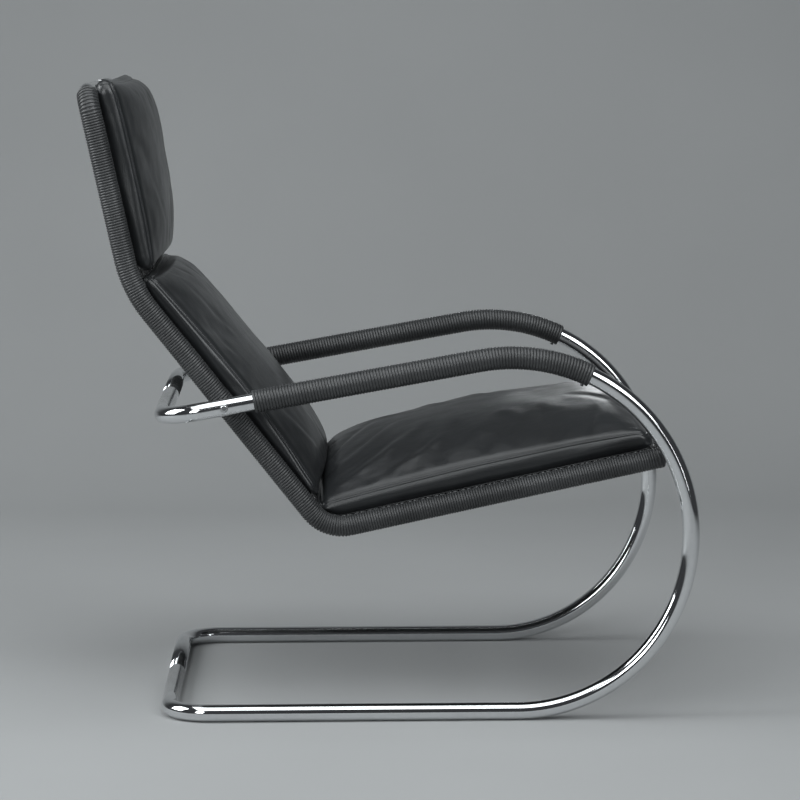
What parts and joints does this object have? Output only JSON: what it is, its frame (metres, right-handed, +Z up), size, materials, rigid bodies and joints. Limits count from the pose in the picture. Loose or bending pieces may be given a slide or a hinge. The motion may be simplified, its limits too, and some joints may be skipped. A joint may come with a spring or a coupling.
{
  "type": "cantilever lounge chair",
  "caption": "High-back cantilever easy chair: sprung chromed tube frame with corded arms and side rails, carrying leather seat, back and headrest cushions.",
  "frame": {"origin": "on the floor, under the middle of the chair's depth and width", "axes": "+X towards the front of the chair, +Y to the sitter's left, +Z up"},
  "size_m": [0.9874, 0.659, 1.0259],
  "materials": {
    "chromed_tube": "mirror-bright chrome plating on bent steel tube",
    "spigot_steel": "plain drawn steel, hidden inside the cross tubes",
    "pin_steel": "hardened spring steel",
    "screw_chrome": "bright plated",
    "spacer_chrome": "bright plated",
    "insert_steel": "zinc plated",
    "tack_black": "black",
    "wound_cord": "round black leather cord, close wound, soft sheen",
    "web_cord": "the same black cord, woven",
    "fastener_tape": "black hook and loop tape",
    "cushion_leather": "smooth black aniline leather with a satin sheen",
    "core_foam": "polyurethane foam with a wadding wrap",
    "zip_black": "black coil zip on woven tape"
  },
  "bodies": {
    "base": {"base_tube_left": "chromed_tube", "base_tube_right": "chromed_tube", "floor_spigot": "spigot_steel", "floor_spring_pins": "pin_steel", "bow_left": "chromed_tube", "bow_right": "chromed_tube"},
    "seat": {"arm_spigot": "spigot_steel", "arm_tube_left": "chromed_tube", "arm_tube_right": "chromed_tube", "arm_winding_left": "wound_cord", "arm_winding_right": "wound_cord", "back_cushion_core": "core_foam", "back_cushion_cover": "cushion_leather", "back_cushion_zip": "zip_black", "back_web": "web_cord", "fastener_strips": "fastener_tape", "front_spigot": "spigot_steel", "front_stubs": "spacer_chrome", "head_cushion_core": "core_foam", "head_cushion_cover": "cushion_leather", "head_cushion_zip": "zip_black", "rail_winding_left": "wound_cord", "rail_winding_right": "wound_cord", "rear_cup_washers": "screw_chrome", "rear_inserts": "insert_steel", "rear_screws": "screw_chrome", "rear_spacers": "spacer_chrome", "seat_cushion_core": "core_foam", "seat_cushion_cover": "cushion_leather", "seat_cushion_zip": "zip_black", "seat_web": "web_cord", "side_rail_left": "chromed_tube", "side_rail_right": "chromed_tube", "top_spigot": "spigot_steel", "upper_spring_pins": "pin_steel", "winding_tacks": "tack_black"}
  },
  "joints": [
    {"name": "frame_spring", "type": "hinge", "parent": "base", "child": "seat", "pos_m": [0.4411, 0, 0.153], "axis": [0, -1, 0], "range_deg": [-1, 4], "stiffness_Nm_per_rad": 6000, "springref_deg": -0.69, "deforming": ["bow_left", "bow_right"]}
  ]
}
